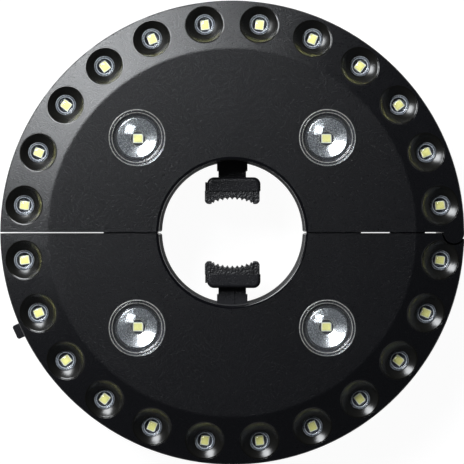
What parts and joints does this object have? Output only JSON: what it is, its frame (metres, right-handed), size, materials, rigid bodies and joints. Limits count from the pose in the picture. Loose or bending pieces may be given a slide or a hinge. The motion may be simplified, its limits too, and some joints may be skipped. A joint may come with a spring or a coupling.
{
  "type": "patio umbrella light",
  "caption": "Round clamp-on light for an umbrella pole: two hinged half rings with sprung grip pads, a ring of small LEDs and larger spot LEDs, batteries and hanging hooks.",
  "frame": {"origin": "on the pole's axis, at the plane of the flat back that the light rests on", "axes": "+Z along the pole, out of the lit face; +X towards the hinge; +Y towards the half that carries the hinge's outer knuckles"},
  "size_m": [0.195, 0.195, 0.0397],
  "materials": {
    "case": "finely textured moulded black",
    "door": "textured black",
    "pad_plastic": "satin black",
    "rubber": "matte black rubber",
    "clear": "clear polished lens",
    "cup": "bright vacuum-plated",
    "board": "black solder mask",
    "control": "green solder mask",
    "led_body": "white moulded package",
    "phosphor": "yellow emitting face, unlit",
    "steel": "plain zinc-plated steel",
    "spring_steel": "drawn spring wire",
    "cell_wrap": "plain shrink sleeve",
    "button_plastic": "satin black",
    "lead": "soft insulated lead"
  },
  "bodies": {
    "upper_half": {"upper_front_housing": "case", "upper_rear_housing": "case", "upper_led_board": "board", "upper_ring_leds": "led_body", "upper_ring_phosphors": "phosphor", "upper_ring_lenses": "clear", "upper_right_spot_lens": "clear", "upper_right_spot_reflector": "cup", "upper_left_spot_lens": "clear", "upper_left_spot_reflector": "cup", "upper_spot_leds": "led_body", "upper_spot_phosphors": "phosphor", "upper_pad_guide": "pad_plastic", "upper_pad_spring": "spring_steel", "upper_inner_cell": "cell_wrap", "upper_outer_cell": "cell_wrap", "upper_cell_contacts": "steel", "upper_cell_springs": "spring_steel", "upper_case_screws": "steel", "upper_board_screws": "steel", "hinge_pin": "steel", "hinge_lead": "lead"},
    "lower_half": {"lower_front_housing": "case", "lower_rear_housing": "case", "lower_led_board": "board", "lower_ring_leds": "led_body", "lower_ring_phosphors": "phosphor", "lower_ring_lenses": "clear", "lower_right_spot_lens": "clear", "lower_right_spot_reflector": "cup", "lower_left_spot_lens": "clear", "lower_left_spot_reflector": "cup", "lower_spot_leds": "led_body", "lower_spot_phosphors": "phosphor", "lower_pad_guide": "pad_plastic", "lower_pad_spring": "spring_steel", "lower_inner_cell": "cell_wrap", "lower_outer_cell": "cell_wrap", "lower_cell_contacts": "steel", "lower_cell_springs": "spring_steel", "lower_case_screws": "steel", "lower_board_screws": "steel", "latch_clip": "pad_plastic", "control_board": "control", "tact_switch": "button_plastic"},
    "upper_pad": {"upper_pad_holder": "pad_plastic", "upper_rubber_pad": "rubber"},
    "lower_pad": {"lower_pad_holder": "pad_plastic", "lower_rubber_pad": "rubber"},
    "upper_door": {"upper_battery_door": "door"},
    "lower_door": {"lower_battery_door": "door"},
    "upper_hook": {"upper_hook": "steel"},
    "lower_hook": {"lower_hook": "steel"},
    "button": {"push_button": "button_plastic"}
  },
  "joints": [
    {"name": "half_hinge", "type": "hinge", "parent": "upper_half", "child": "lower_half", "pos_m": [0.093, 0, 0.018], "axis": [0, 0, 1], "range_deg": [0, 55], "deforming": ["hinge_lead"]},
    {"name": "upper_pad_slide", "type": "slide", "parent": "upper_half", "child": "upper_pad", "axis": [0, 1, 0], "range_m": [0, 0.005], "stiffness_N_per_m": 900, "springref_m": -0.004, "deforming": ["upper_pad_spring"]},
    {"name": "lower_pad_slide", "type": "slide", "parent": "lower_half", "child": "lower_pad", "axis": [0, -1, 0], "range_m": [0, 0.005], "stiffness_N_per_m": 900, "springref_m": -0.004, "deforming": ["lower_pad_spring"]},
    {"name": "upper_door_slide", "type": "slide", "parent": "upper_half", "child": "upper_door", "axis": [0, 1, 0], "range_m": [0, 0.04]},
    {"name": "lower_door_slide", "type": "slide", "parent": "lower_half", "child": "lower_door", "axis": [0, -1, 0], "range_m": [0, 0.04]},
    {"name": "upper_hook_swing", "type": "hinge", "parent": "upper_half", "child": "upper_hook", "pos_m": [0.0385, 0.027, 0.0023], "axis": [0, 1, 0], "range_deg": [0, 95]},
    {"name": "lower_hook_swing", "type": "hinge", "parent": "lower_half", "child": "lower_hook", "pos_m": [-0.0385, -0.027, 0.0023], "axis": [0, -1, 0], "range_deg": [0, 95]},
    {"name": "button_press", "type": "slide", "parent": "lower_half", "child": "button", "axis": [0.9078, 0.4195, 0], "range_m": [0, 0.0012], "stiffness_N_per_m": 600, "springref_m": -0.001}
  ]
}
